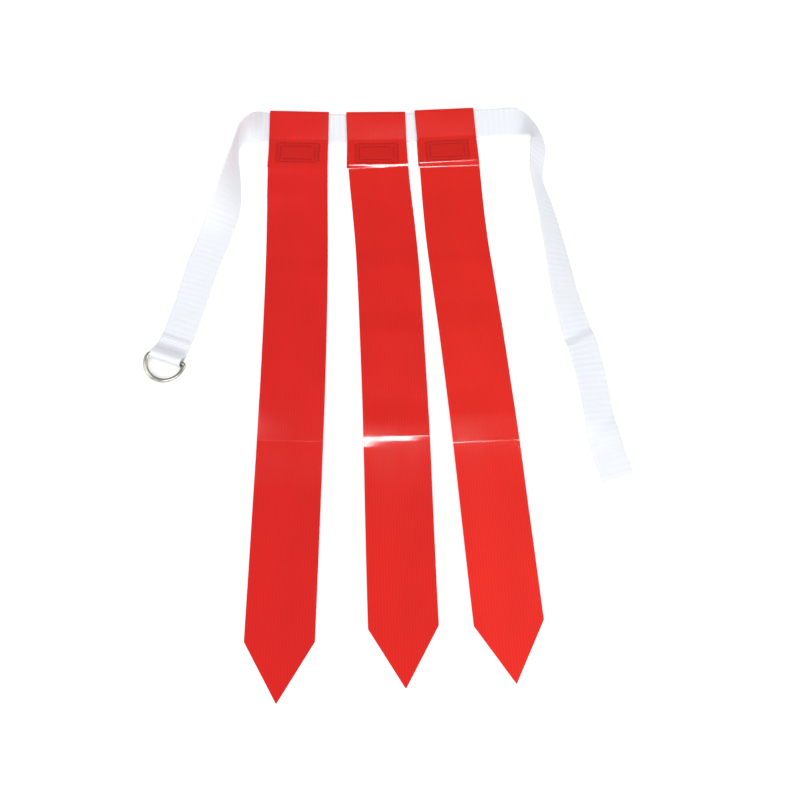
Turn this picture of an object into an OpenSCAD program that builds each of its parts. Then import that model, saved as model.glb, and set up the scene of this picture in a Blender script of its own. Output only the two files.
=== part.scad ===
// Flag belt: a webbing belt with two D-rings and three pull-off flags, laid out flat.
// The belt runs along X, the flags hang towards -Y, and the table is at Z = 0.

/* [Webbing belt] */
// Width of the webbing
webbing_w = 25.4; // [25.4:0.1:25.6]
// Thickness of the webbing
webbing_t = 1.4; // [1.2:0.05:1.4]
// Tilt of the belt inside the flag sleeves, far edge up
belt_tilt = 10; // [8:0.5:10]
// Length of the layer that is folded under the D-rings and sewn down
fold_under = 17; // [16:0.5:20]

/* [D-rings] */
// Diameter of the ring wire
wire_d = 2.8; // [2.4:0.1:2.8]
// Clear width inside a ring
ring_inside_w = 27.6; // [27.4:0.1:28.4]
// Sideways play of each ring on the webbing
ring_play = 0.5; // [0.2:0.1:0.6]

/* [Flags] */
// Width of a flag
flag_w = 50; // [46:1:52]
// Thickness of the vinyl
vinyl_t = 0.6; // [0.4:0.05:0.6]
// Length of the pointed end
point_len = 42; // [30:1:50]
// Free gap between the belt and the sleeve around it
sleeve_gap = 0.45; // [0.4:0.05:0.6]

/* [Closures] */
// Width of a closure pad
pad_w = 38; // [34:1:42]
// Length of a closure pad, along the flag
pad_len = 21; // [18:1:24]
// Thickness of a closure pad's tape
pad_t = 1.1; // [0.8:0.05:1.1]
// Gap between the two tapes, which their hooks and loops fill
pad_gap = 0.3; // [0.3:0.05:0.5]
// Length of one stitch
stitch_len = 2.2; // [1.5:0.1:2.6]

/* [Hidden] */
$fn = 48;

// Everything is laid out from the middle of the belt, then moved by this much,
// so that the origin is under the centre of the whole layout
layout_shift = [12.46, 226.57];

// Places of the three flags: sleeve centre x and y, sleeve angle, flag angle,
// and the length that the flag lies along, from sleeve centre to point
FLAGS = [
    [-85.5, -1.8, -1.5, 0, 469],
    [-20, -2.4, 0.5, 3, 459],
    [38.5, 0.6, 3, 5.3, 460]
];

vinyl_red = [0.86, 0.17, 0.14];
pad_red = [0.62, 0.09, 0.09];
thread_red = [0.5, 0.06, 0.07];

// ---- heights in a sleeve ----

// Height of the belt's centre line inside the sleeves
layer_gap = webbing_t / 2 + sleeve_gap + vinyl_t / 2;
belt_z = vinyl_t / 2 + layer_gap / cos(belt_tilt) + (webbing_w / 2 - 0.1) * sin(belt_tilt) + 0.05;
// Radius of the vinyl's centre line around the far edge of the belt
fold_r = layer_gap;
// Distance from the belt's centre line to the centre of that fold
fold_at = webbing_w / 2 + 0.2;
// Half of the angle left open where the strip and the tab meet at the fold
fold_split = 8;
// Where the pads start and stop, from the sleeve's centre towards the point
pad_near = -14;
pad_far = pad_near - pad_len;
tab_end = pad_far - 2;
// Heights of the pads' faces
loop_pad_z = vinyl_t;
hook_pad_z = loop_pad_z + pad_t + pad_gap;
strip_pad_z = hook_pad_z + pad_t + vinyl_t / 2;
// Where the strip reaches the table again
strip_down = -62;
// Stitches: spacing, width and depth of the thread, and inset from the pad's edge
stitch_pitch = stitch_len + 0.9;
stitch_w = 0.6;
thread_depth = 0.25;
stitch_inset = 1.2;

// ---- belt route ----

// Free height above the table of the laid webbing and of the layer under the rings
table_gap = 0.2;
fold_gap = 0.05;
// Centre of the D-rings' bars, and the direction in which the belt leaves them
ring_at = [-181, -214.5];
ring_heading = 70.5;
// Heights of the two bars
bar_gap = 0.3;
lower_bar_z = fold_gap + webbing_t + bar_gap + wire_d / 2;
upper_bar_z = lower_bar_z + wire_d + bar_gap;
// Radius of the webbing's centre line around a bar
loop_r = wire_d / 2 + bar_gap + webbing_t / 2;

// Height of the upper layer's centre line where it is sewn to the lower one
sewn_z = 2.2;

// Side view of the loop's upper layer: distance back from the bars, and height
LOOP_TOP = [
    [0, upper_bar_z + loop_r], [2, 8.2], [5, 6.4], [9, 3.6],
    [13, sewn_z + 0.05], [17, sewn_z], [21, 1.1]
];

// Route of the belt from the D-rings to the cut end: x, y, heading of the belt,
// lean of the webbing (far edge up is positive), and free height above the table
sleeve_lift = belt_z - table_gap - webbing_w / 2 * sin(belt_tilt) - webbing_t / 2 * cos(belt_tilt);
ROUTE = [
    [-172.5, -190, 71, 0, 0], [-167, -168, 73, 0, 0], [-159, -134, 72, 4, 0], [-150, -105, 74, 10, 0],
    [-143, -82, 80, 30, 0], [-139.5, -62, 86, 54, 0], [-137.5, -44, 92, 74, 0],
    [-136.5, -30, 90, 88, 0], [-135, -20, 60, 92, 0], [-131, -12.5, 10, 82, 0],
    [-126, -8.6, 0, 60, 0], [-121.5, -5.2, -1, 38, 0.2], [-117.3, -2.3, -1.5, 18, 0.9],
    [-113.6, -1.06, -1.5, belt_tilt, sleeve_lift], [-110.8, -1.14, -1.5, belt_tilt, sleeve_lift],
    [-102, -1.37, -1.5, belt_tilt, sleeve_lift], [-85.5, -1.8, -1.5, belt_tilt, sleeve_lift],
    [-60, -2.5, -1.5, belt_tilt, sleeve_lift],
    [-46, -2.7, 0.5, belt_tilt, sleeve_lift], [-20, -2.4, 0.5, belt_tilt, sleeve_lift],
    [6, -2.1, 0.5, belt_tilt, sleeve_lift],
    [12, -0.8, 3, belt_tilt, sleeve_lift], [38.5, 0.6, 3, belt_tilt, sleeve_lift],
    [65, 2, 3, belt_tilt, sleeve_lift],
    [82, 4, 3, 8, 0.6], [98, 5, 2, 8, 0.5], [106, 2, -2, -10, 0.5], [111, -4, -10, -25, 0],
    [114.5, -14, -36, -42, 0], [115, -28, -80, -52, 0], [112.7, -45, -76, -57, 0],
    [113, -56, -78, -58, 0], [117, -75, -72, -50, 0], [121.5, -98, -77, -43, 0],
    [126.5, -130, -78, -33, 0], [132, -164, -76, -22, 0], [139.5, -195, -72, -12, 0],
    [143.5, -212, -76, -12, 0], [148.5, -240, -79, -16, 0], [151.5, -265, -79, -16, 0],
    [155, -284, -74, -4, 0], [161.8, -309.5, -74, 0, 0]
];
// Steps between two neighbouring points of the route
route_steps = 3;

function lean_height(lean, lift) =
    lift + webbing_w / 2 * abs(sin(lean)) + webbing_t / 2 * abs(cos(lean)) + table_gap;

function route_point(p) = [p[0], p[1], lean_height(p[3], p[4]), p[2], p[3]];

// A point of the ring loop: distance back from the bars, and height
function loop_point(back, z) = [
    ring_at[0] + back * cos(ring_heading), ring_at[1] + back * sin(ring_heading), z, ring_heading, 0
];

// The layer under the rings, from its sewn end to the lower bar, then around both bars
loop_points = concat(
    [for (back = [fold_under : -4.25 : 4]) loop_point(back, fold_gap + webbing_t / 2)],
    [for (a = [-90 : 30 : 0]) loop_point(-loop_r * cos(a), lower_bar_z + loop_r * sin(a))],
    [for (a = [0 : 30 : 60]) loop_point(-loop_r * cos(a), upper_bar_z + loop_r * sin(a))],
    [for (p = LOOP_TOP) loop_point(p[0], p[1])]
);
belt_points = concat(loop_points, [for (p = ROUTE) route_point(p)]);

// Smooth curve through four neighbouring points
function between(a, b, c, d, t) = 0.5 * (2 * b + (c - a) * t
    + (2 * a - 5 * b + 4 * c - d) * t * t + (3 * b - a - 3 * c + d) * t * t * t);

function smooth_route(pts, steps) = let (last = len(pts) - 1) concat(
    [for (i = [0 : last - 1], k = [0 : steps - 1])
        between(pts[max(i - 1, 0)], pts[i], pts[i + 1], pts[min(i + 2, last)], k / steps)],
    [pts[last]]
);

function unit(v) = v / norm(v);
function place(p) = [p[0], p[1], p[2]];
// Direction across the webbing, towards its left-hand edge
function across(p) = [-sin(p[3]) * cos(p[4]), cos(p[3]) * cos(p[4]), sin(p[4])];
function along(pts, i) = unit(place(pts[min(i + 1, len(pts) - 1)]) - place(pts[max(i - 1, 0)]));

// The four corners of the webbing's section at one point of the route
function webbing_section(pts, i) = let (
    mid = place(pts[i]),
    side = across(pts[i]) * webbing_w / 2,
    up = unit(cross(along(pts, i), across(pts[i]))) * webbing_t / 2
) [mid + side + up, mid - side + up, mid - side - up, mid + side - up];

// Sweep four-cornered sections into one closed solid
module sweep_sections(sections) {
    count = len(sections);
    points = [for (s = sections) for (p = s) p];
    sides = [for (i = [0 : count - 2], k = [0 : 3]) let (
        a = 4 * i + k, b = 4 * i + (k + 1) % 4
    ) each [[a, b + 4, b], [a, a + 4, b + 4]]];
    last = 4 * (count - 1);
    caps = [[1, 2, 3], [0, 1, 3], [last + 2, last + 1, last], [last + 3, last + 2, last]];
    polyhedron(points, concat(sides, caps), convexity = 10);
}

module laid_out() {
    translate([layout_shift[0], layout_shift[1], 0]) children();
}

// ---- webbing and rings ----

module belt_webbing() {
    pts = smooth_route(belt_points, route_steps);
    color([0.93, 0.95, 0.97])
        laid_out()
            sweep_sections([for (i = [0 : len(pts) - 1]) webbing_section(pts, i)]);
}

// Frame of the ring end: X across the webbing, Y back along the belt
module at_rings() {
    laid_out()
        translate([ring_at[0], ring_at[1], 0])
            rotate([0, 0, ring_heading - 90])
                children();
}

// Two rows of stitches across the folded end, on the upper layer
module ring_loop_stitching() {
    row_stitches = 8;
    top_z = sewn_z + webbing_t / 2 + 0.12;
    color([0.97, 0.97, 0.97])
        at_rings()
            for (row = [0, 1], i = [0 : row_stitches - 1])
                translate([(i - (row_stitches - 1) / 2) * stitch_pitch - stitch_len / 2, 13.6 + 2.2 * row, top_z])
                    cube([stitch_len, stitch_w, thread_depth]);
}

// A quarter ring of wire in the ring's plane, from angle a0
module wire_arc(radius, a0, sweep) {
    rotate([0, 0, a0])
        rotate_extrude(angle = sweep)
            translate([radius, 0])
                circle(d = wire_d);
}

// D-ring with its straight bar on the X axis and its bow towards -Y
module d_ring() {
    half = ring_inside_w / 2 + wire_d / 2;
    corner = 2.3;
    leg = 0.4;
    bow_at = -(corner + leg);
    translate([-(half - corner), 0, 0])
        rotate([0, 90, 0])
            cylinder(h = 2 * (half - corner), d = wire_d);
    translate([half - corner, -corner, 0]) wire_arc(corner, 0, 90);
    translate([-(half - corner), -corner, 0]) wire_arc(corner, 90, 90);
    for (s = [-1, 1])
        translate([s * half, bow_at, 0])
            rotate([-90, 0, 0])
                cylinder(h = leg, d = wire_d);
    translate([0, bow_at, 0]) wire_arc(half, 180, 180);
}

// Both rings slope down from their bars, until the lower one's bow meets the table
bow_reach = ring_inside_w / 2 + wire_d / 2 + 2.7;
ring_slope = asin((lower_bar_z - wire_d / 2) / bow_reach) - 0.2;

module placed_ring(z, shift) {
    color([0.62, 0.62, 0.58])
        at_rings()
            translate([shift, 0, z])
                rotate([ring_slope, 0, 0])
                    d_ring();
}

module d_ring_upper() { placed_ring(upper_bar_z, ring_play); }
module d_ring_lower() { placed_ring(lower_bar_z, -ring_play); }

// ---- flags ----

// A closed outline of constant thickness along a line of points
function line_normal(pts, i) = let (
    d = unit(pts[min(i + 1, len(pts) - 1)] - pts[max(i - 1, 0)])
) [-d[1], d[0]];
function band(pts, t) = concat(
    [for (i = [0 : len(pts) - 1]) pts[i] + line_normal(pts, i) * t / 2],
    [for (i = [len(pts) - 1 : -1 : 0]) pts[i] - line_normal(pts, i) * t / 2]
);

// Centre line of the vinyl around the fold, from angle a to angle b
fold_centre = [fold_at * cos(belt_tilt), belt_z + fold_at * sin(belt_tilt)];
function fold_arc(a, b) = [for (k = [0 : 6])
    let (v = a + (b - a) * k / 6 + belt_tilt) fold_centre + fold_r * [cos(v), sin(v)]];
// Height of the sloping vinyl over (side 1) or under (side -1) the belt
function slope_z(y, side) = belt_z + side * layer_gap / cos(belt_tilt) + y * tan(belt_tilt);

strip_line = concat(
    fold_arc(fold_split, 90),
    [[-10, slope_z(-10, 1)], [pad_near + 0.5, strip_pad_z], [pad_far - 0.5, strip_pad_z]],
    [[-40, 3.1], [-45, 2.2], [-52, 1.0], [strip_down, vinyl_t / 2 + 0.02]],
    [[-520, vinyl_t / 2 + 0.02]]
);
tab_line = concat(
    fold_arc(-fold_split, -90),
    [[-(webbing_w / 2 - 0.1), vinyl_t / 2], [tab_end, vinyl_t / 2]]
);

// Extrude a side view (distance towards the fold, height) across a flag
module side_view(outline, width) {
    translate([-width / 2, 0, 0])
        rotate([90, 0, 90])
            linear_extrude(height = width)
                polygon(outline);
}

// Plan of a flag, turned to its own angle: straight sides and a pointed end
module flag_plan(k) {
    len_k = FLAGS[k][4];
    shoulder = len_k - point_len;
    rotate([0, 0, FLAGS[k][3] - FLAGS[k][2]])
        translate([0, 0, -5])
            linear_extrude(height = 30)
                polygon([
                    [-flag_w / 2, 25], [-flag_w / 2, -shoulder], [0, -len_k],
                    [flag_w / 2, -shoulder], [flag_w / 2, 25]
                ]);
}

// Frame of one sleeve: X along the belt, Y towards the fold
module at_flag(k) {
    laid_out()
        translate([FLAGS[k][0], FLAGS[k][1], 0])
            rotate([0, 0, FLAGS[k][2]])
                children();
}

// One row of stitches along X, centred, with a count that fits the length
module stitch_row(length) {
    count = floor(length / stitch_pitch);
    for (i = [0 : count - 1])
        translate([(i - (count - 1) / 2) * stitch_pitch - stitch_len / 2, -stitch_w / 2, 0])
            cube([stitch_len, stitch_w, thread_depth]);
}

// Stitches in a box around a pad, at height z
module box_stitches(z) {
    box_w = pad_w - 2 * stitch_inset;
    box_l = pad_len - 2 * stitch_inset;
    translate([0, (pad_near + pad_far) / 2, z]) {
        for (s = [-1, 1]) {
            translate([0, s * box_l / 2, 0]) stitch_row(box_w - 2);
            translate([s * box_w / 2, 0, 0]) rotate([0, 0, 90]) stitch_row(box_l);
        }
    }
}

module pad_block(z) {
    translate([-pad_w / 2, pad_far, z])
        cube([pad_w, pad_len, pad_t]);
}

// The long strip, from the crest of its fold to its point
module flag_strip(k) {
    color(vinyl_red)
        at_flag(k)
            intersection() {
                side_view(band(strip_line, vinyl_t), flag_w + 100);
                flag_plan(k);
            }
}

// The short end of the same vinyl, folded under the belt
module flag_tab(k) {
    color(vinyl_red)
        at_flag(k)
            difference() {
                side_view(band(tab_line, vinyl_t), flag_w);
                box_stitches(0);
            }
}

module hook_pad(k) { color(pad_red) at_flag(k) pad_block(hook_pad_z); }
module loop_pad(k) { color(pad_red) at_flag(k) pad_block(loop_pad_z); }
module hook_stitching(k) { color(thread_red) at_flag(k) box_stitches(strip_pad_z + vinyl_t / 2); }
module loop_stitching(k) { color(thread_red) at_flag(k) box_stitches(0); }

belt_webbing();
ring_loop_stitching();
d_ring_upper();
d_ring_lower();
flag_strip(0);  // flag_1_strip
hook_pad(0);  // flag_1_hook_pad
hook_stitching(0);  // flag_1_hook_stitching
flag_tab(0);  // flag_1_tab
loop_pad(0);  // flag_1_loop_pad
loop_stitching(0);  // flag_1_loop_stitching
flag_strip(1);  // flag_2_strip
hook_pad(1);  // flag_2_hook_pad
hook_stitching(1);  // flag_2_hook_stitching
flag_tab(1);  // flag_2_tab
loop_pad(1);  // flag_2_loop_pad
loop_stitching(1);  // flag_2_loop_stitching
flag_strip(2);  // flag_3_strip
hook_pad(2);  // flag_3_hook_pad
hook_stitching(2);  // flag_3_hook_stitching
flag_tab(2);  // flag_3_tab
loop_pad(2);  // flag_3_loop_pad
loop_stitching(2);  // flag_3_loop_stitching
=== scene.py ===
"""Looks of a flag belt that lies on a table: white webbing, two D-rings and three red vinyl flags.

Shapes are worked out in millimetres in the layout's frame, which has its origin at the middle of
the belt, X along the belt and Y towards the folds of the flags. put() moves them into the part's frame.
"""
import math

import bmesh
import bpy
import numpy as np
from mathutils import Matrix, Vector

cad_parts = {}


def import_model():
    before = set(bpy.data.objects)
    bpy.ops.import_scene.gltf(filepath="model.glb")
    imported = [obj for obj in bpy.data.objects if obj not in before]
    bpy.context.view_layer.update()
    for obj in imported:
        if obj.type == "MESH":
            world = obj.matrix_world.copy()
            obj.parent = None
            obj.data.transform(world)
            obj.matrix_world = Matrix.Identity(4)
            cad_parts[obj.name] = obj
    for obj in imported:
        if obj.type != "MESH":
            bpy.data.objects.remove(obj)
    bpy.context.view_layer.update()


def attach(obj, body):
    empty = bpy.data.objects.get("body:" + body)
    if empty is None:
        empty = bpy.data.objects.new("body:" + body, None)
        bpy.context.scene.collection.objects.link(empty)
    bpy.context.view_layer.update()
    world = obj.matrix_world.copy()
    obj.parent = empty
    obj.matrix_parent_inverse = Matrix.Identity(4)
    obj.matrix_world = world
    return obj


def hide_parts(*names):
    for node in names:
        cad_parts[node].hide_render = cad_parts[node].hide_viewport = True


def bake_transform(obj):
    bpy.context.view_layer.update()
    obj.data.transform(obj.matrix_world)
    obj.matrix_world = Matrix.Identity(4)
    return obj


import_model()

# ---- sizes, in millimetres ----

# From the layout's frame to the part's frame
LAYOUT_SHIFT = (12.46, 226.57)

WEBBING_W = 25.4
WEBBING_T = 1.4
BELT_TILT = math.radians(10)
WIRE_D = 2.8
RING_INSIDE_W = 27.6
# How far each ring has slid along its bar, one to each side
RING_PLAY = 0.9
FLAG_W = 50
VINYL_T = 0.6
POINT_LEN = 42
SLEEVE_GAP = 0.45
PAD_W = 38
PAD_LEN = 21
# The weave's tall ribs are three fine ones apart
RIB_PITCH = 4.85
FINE_RIB_PITCH = RIB_PITCH / 3
TALL_RIB = 0.032
FINE_RIB = 0.06
VINYL_RIB_PITCH = 2.2
VINYL_RIB = 0.009

# Each flag: sleeve centre x and y, sleeve angle, flag angle, length from sleeve centre to point
FLAGS = [
    (-85.5, -1.8, -1.5, 0, 469),
    (-20, -2.4, 0.5, 3, 459),
    (38.5, 0.6, 3, 5.3, 460),
]

# Heights in a sleeve, as in the CAD part
LAYER_GAP = WEBBING_T / 2 + SLEEVE_GAP + VINYL_T / 2
BELT_Z = (
    VINYL_T / 2 + LAYER_GAP / math.cos(BELT_TILT) + (WEBBING_W / 2 - 0.1) * math.sin(BELT_TILT) + 0.05
)
FOLD_AT = WEBBING_W / 2 + 0.2
FOLD_CENTRE = np.array([FOLD_AT * math.cos(BELT_TILT), BELT_Z + FOLD_AT * math.sin(BELT_TILT)])
PAD_NEAR = -14
PAD_FAR = PAD_NEAR - PAD_LEN
TAB_END = PAD_FAR - 2
TAPE_T = 0.5
LOOP_TAPE_Z = VINYL_T
HOOK_TAPE_Z = 3.1
MEETING_Z = 1.85
# Where the strip's mesh ends over the belt and the fold's mesh starts
SEAM_Y = 11.5

# ---- belt route, as in the CAD part ----

TABLE_GAP = 0.2
FOLD_GAP = 0.05
# Length of webbing that is folded under the rings and sewn down
FOLD_UNDER = 17
RING_AT = (-181, -214.5)
RING_HEADING = 70.5
BAR_GAP = 0.3
LOWER_BAR_Z = FOLD_GAP + WEBBING_T + BAR_GAP + WIRE_D / 2
UPPER_BAR_Z = LOWER_BAR_Z + WIRE_D + BAR_GAP
LOOP_R = WIRE_D / 2 + BAR_GAP + WEBBING_T / 2
SEWN_Z = 2.2
# The webbing's upper layer behind the bars: place back from them, and height
LOOP_TOP = [
    (0, UPPER_BAR_Z + LOOP_R), (2, 8.2), (5, 6.4), (9, 3.6), (13, SEWN_Z + 0.05), (17, SEWN_Z), (21, 1.1),
]
SLEEVE_LIFT = (
    BELT_Z - TABLE_GAP - WEBBING_W / 2 * math.sin(BELT_TILT) - WEBBING_T / 2 * math.cos(BELT_TILT)
)
# Points of the belt's middle line: x, y, heading, lean of the webbing, free height above the table
ROUTE = [
    (-172.5, -190, 71, 0, 0), (-167, -168, 73, 0, 0), (-159, -134, 72, 4, 0), (-150, -105, 74, 10, 0),
    (-143, -82, 80, 30, 0), (-139.5, -62, 86, 54, 0), (-137.5, -44, 92, 74, 0),
    (-136.5, -30, 90, 88, 0), (-135, -20, 60, 92, 0), (-131, -12.5, 10, 82, 0),
    (-126, -8.6, 0, 60, 0), (-121.5, -5.2, -1, 38, 0.2), (-117.3, -2.3, -1.5, 18, 0.9),
    (-113.6, -1.06, -1.5, 10, SLEEVE_LIFT), (-110.8, -1.14, -1.5, 10, SLEEVE_LIFT),
    (-102, -1.37, -1.5, 10, SLEEVE_LIFT), (-85.5, -1.8, -1.5, 10, SLEEVE_LIFT),
    (-60, -2.5, -1.5, 10, SLEEVE_LIFT),
    (-46, -2.7, 0.5, 10, SLEEVE_LIFT), (-20, -2.4, 0.5, 10, SLEEVE_LIFT),
    (6, -2.1, 0.5, 10, SLEEVE_LIFT),
    (12, -0.8, 3, 10, SLEEVE_LIFT), (38.5, 0.6, 3, 10, SLEEVE_LIFT),
    (65, 2, 3, 10, SLEEVE_LIFT),
    (82, 4, 3, 8, 0.6), (98, 5, 2, 8, 0.5), (106, 2, -2, -10, 0.5), (111, -4, -10, -25, 0),
    (114.5, -14, -36, -42, 0), (115, -28, -80, -52, 0), (112.7, -45, -76, -57, 0),
    (113, -56, -78, -58, 0), (117, -75, -72, -50, 0), (121.5, -98, -77, -43, 0),
    (126.5, -130, -78, -33, 0), (132, -164, -76, -22, 0), (139.5, -195, -72, -12, 0),
    (143.5, -212, -76, -12, 0), (148.5, -240, -79, -16, 0), (151.5, -265, -79, -16, 0),
    (155, -284, -74, -4, 0), (161.8, -309.5, -74, 0, 0),
]


# ---- placing and building ----

def put(points):
    """Points in the layout's frame, in millimetres, as points in the part's frame, in metres."""
    moved = np.array(points, float)
    moved[..., 0] += LAYOUT_SHIFT[0]
    moved[..., 1] += LAYOUT_SHIFT[1]
    return moved / 1000


def turned(x, y, degrees):
    """A pair of coordinates turned about their origin."""
    a = math.radians(degrees)
    return x * math.cos(a) - y * math.sin(a), x * math.sin(a) + y * math.cos(a)


def from_sleeve(k, points):
    """Points in flag k's sleeve frame (X along the belt, Y towards the fold) in the layout's frame."""
    cx, cy, angle = FLAGS[k][:3]
    points = np.array(points, float)
    x, y = turned(points[..., 0], points[..., 1], angle)
    return np.stack([x + cx, y + cy, points[..., 2]], axis=-1)


def faces_of_rows(n, m):
    """Quads of a tube with n rings of m points, and a zip of quads over each end."""
    index = np.arange(n * m).reshape(n, m)
    a, d = index[:-1], index[1:]
    b, c = np.roll(a, -1, axis=1), np.roll(d, -1, axis=1)
    sides = np.stack([a, b, c, d], axis=-1).reshape(-1, 4)
    half = np.arange(m // 2 - 1)
    zip_quads = np.stack([half, m - 1 - half, m - 2 - half, half + 1], axis=-1)
    far_quads = zip_quads[:, ::-1] + (n - 1) * m
    return np.concatenate([sides, zip_quads, far_quads])


def signed_volume(points, quads):
    """Volume inside the quads, less than 0 where they face inwards."""
    a, b, c, d = (points[quads[:, i]] for i in range(4))
    first = np.einsum("ij,ij->i", a, np.cross(b, c))
    second = np.einsum("ij,ij->i", a, np.cross(c, d))
    return (first + second).sum() / 6


class Batch:
    """Collects closed surfaces, most of them stacks of rings of points, into one mesh."""

    def __init__(self):
        self.points, self.lays, self.faces, self.count = [], [], [], 0

    def add(self, rows, lay=None):
        """A tube of rings of points, closed at both ends."""
        rows = np.asarray(rows, float)
        self.add_quads(rows.reshape(-1, 3), faces_of_rows(*rows.shape[:2]), lay)

    def add_quads(self, points, quads, lay=None):
        """A closed surface of quads, all turned to face outwards."""
        if signed_volume(points, quads) < 0:
            quads = quads[:, ::-1]
        self.points.append(points)
        self.lays.append(points if lay is None else np.asarray(lay, float).reshape(-1, 3))
        self.faces.append(quads + self.count)
        self.count += len(points)

    def mesh(self, name, material, sharp_angle):
        """One object of them all, with the flat coordinates of each point in the attribute lay."""
        mesh = bpy.data.meshes.new(name)
        mesh.from_pydata(
            put(np.concatenate(self.points)).tolist(), [], np.concatenate(self.faces).tolist()
        )
        lay = mesh.attributes.new("lay", "FLOAT_VECTOR", "POINT")
        lay.data.foreach_set("vector", np.concatenate(self.lays).astype(np.float32).ravel())
        mesh.validate()
        weld(mesh)
        mesh.shade_smooth()
        mesh.set_sharp_from_angle(angle=math.radians(sharp_angle))
        mesh.materials.append(material)
        obj = bpy.data.objects.new(name, mesh)
        bpy.context.scene.collection.objects.link(obj)
        return obj


def weld(mesh):
    """Joins points that lie on each other and drops the faces that had no area."""
    bm = bmesh.new()
    bm.from_mesh(mesh)
    bmesh.ops.remove_doubles(bm, verts=bm.verts, dist=1e-7)
    bmesh.ops.dissolve_degenerate(bm, edges=bm.edges, dist=1e-8)
    bm.to_mesh(mesh)
    bm.free()


def finish_piece(obj, body, slot, *nodes):
    """The piece rides on its CAD body and stands for these CAD nodes."""
    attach(obj, body)
    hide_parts(*nodes)


def spline(points):
    """A natural cubic spline through (place, value) points, as a function of an array of places."""
    points = sorted(points)
    x = np.array([p[0] for p in points], float)
    y = np.array([p[1] for p in points], float)
    h = np.diff(x)
    n = len(x)
    matrix, right = np.eye(n), np.zeros(n)
    for i in range(1, n - 1):
        matrix[i, i - 1:i + 2] = h[i - 1], 2 * (h[i - 1] + h[i]), h[i]
        right[i] = 6 * ((y[i + 1] - y[i]) / h[i] - (y[i] - y[i - 1]) / h[i - 1])
    bend = np.linalg.solve(matrix, right)

    def value(at):
        at = np.clip(at, x[0], x[-1])
        i = np.clip(np.searchsorted(x, at) - 1, 0, n - 2)
        a, b = x[i + 1] - at, at - x[i]
        return (
            (bend[i] * a ** 3 + bend[i + 1] * b ** 3) / (6 * h[i])
            + (y[i] / h[i] - bend[i] * h[i] / 6) * a
            + (y[i + 1] / h[i] - bend[i + 1] * h[i] / 6) * b
        )

    return value


def smoothstep(x, low, high):
    """A soft step from 0 at low to 1 at high."""
    t = np.clip((x - low) / (high - low), 0, 1)
    return t * t * (3 - 2 * t)


def unit(v):
    """Vectors scaled to length 1."""
    return v / np.linalg.norm(v, axis=-1, keepdims=True)


# ---- materials ----

class Nodes:
    """Short calls to build a node material."""

    def __init__(self, name):
        self.material = bpy.data.materials.new(name)
        self.material.use_nodes = True
        self.tree = self.material.node_tree
        self.shader = self.tree.nodes["Principled BSDF"]
        self.lay = self.node("ShaderNodeAttribute", attribute_name="lay").outputs["Vector"]

    def node(self, kind, inputs=None, **settings):
        """A new node, with each input set to a value or linked to a socket."""
        made = self.tree.nodes.new(kind)
        for name, value in settings.items():
            setattr(made, name, value)
        for name, value in (inputs or {}).items():
            if isinstance(value, bpy.types.NodeSocket):
                self.tree.links.new(value, made.inputs[name])
            else:
                made.inputs[name].default_value = value
        return made

    def math(self, operation, a, b=0.0):
        return self.node("ShaderNodeMath", {0: a, 1: b}, operation=operation).outputs[0]

    def scaled(self, factors):
        """Flat coordinates, each one scaled by its factor."""
        return self.node(
            "ShaderNodeVectorMath", {0: self.lay, 1: factors}, operation="MULTIPLY"
        ).outputs[0]

    def noise(self, vector, scale, detail, roughness=0.5):
        return self.node(
            "ShaderNodeTexNoise",
            {"Vector": vector, "Scale": scale, "Detail": detail, "Roughness": roughness},
        ).outputs["Fac"]

    def wave(self, vector, scale, direction, distortion=0.0):
        return self.node(
            "ShaderNodeTexWave",
            {"Vector": vector, "Scale": scale, "Distortion": distortion},
            bands_direction=direction,
        ).outputs["Fac"]

    def ramp(self, fac, stops):
        """A colour ramp through (place, colour) stops."""
        made = self.node("ShaderNodeValToRGB", {"Fac": fac})
        ends = made.color_ramp.elements
        while len(ends) < len(stops):
            ends.new(0.5)
        for end, (place, colour) in zip(ends, stops):
            end.position = place
            end.color = (*colour, 1)
        return made.outputs["Color"]

    def spread(self, fac, low, high):
        """A value from 0 to 1 spread over low to high."""
        return self.node(
            "ShaderNodeMapRange", {"Value": fac, "To Min": low, "To Max": high}
        ).outputs["Result"]

    def bump(self, height, strength, distance_mm, normal=None):
        inputs = {"Height": height, "Strength": strength, "Distance": distance_mm / 1000}
        if normal is not None:
            inputs["Normal"] = normal
        return self.node("ShaderNodeBump", inputs).outputs["Normal"]

    def mix(self, blend, fac, a, b):
        """Two colours mixed, each of the three inputs a value or a socket."""
        made = self.node("ShaderNodeMix", data_type="RGBA", blend_type=blend)
        for socket, value in ((made.inputs[0], fac), (made.inputs[6], a), (made.inputs[7], b)):
            if isinstance(value, bpy.types.NodeSocket):
                self.tree.links.new(value, socket)
            else:
                socket.default_value = value
        return made.outputs[2]

    def ease(self, value, low, high):
        """A soft step from 0 at low to 1 at high."""
        return self.node(
            "ShaderNodeMapRange", {"Value": value, "From Min": low, "From Max": high},
            interpolation_type="SMOOTHSTEP",
        ).outputs["Result"]

    def inside(self, run, half_x, near_y, far_y, soft):
        """1 inside a rectangle of the flat coordinates, 0 outside, with a soft edge."""
        side = self.math("ABSOLUTE", run.outputs["X"])
        across = self.ease(side, half_x + soft, half_x - soft)
        near = self.ease(run.outputs["Y"], near_y + soft, near_y - soft)
        far = self.ease(run.outputs["Y"], far_y - soft, far_y + soft)
        return self.math("MULTIPLY", self.math("MULTIPLY", across, near), far)

    def link(self, value, socket):
        self.tree.links.new(value, self.shader.inputs[socket])

    def set(self, **values):
        """Constant values of the shader's own sockets."""
        for name, value in values.items():
            self.shader.inputs[name.replace("_", " ")].default_value = value


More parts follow.
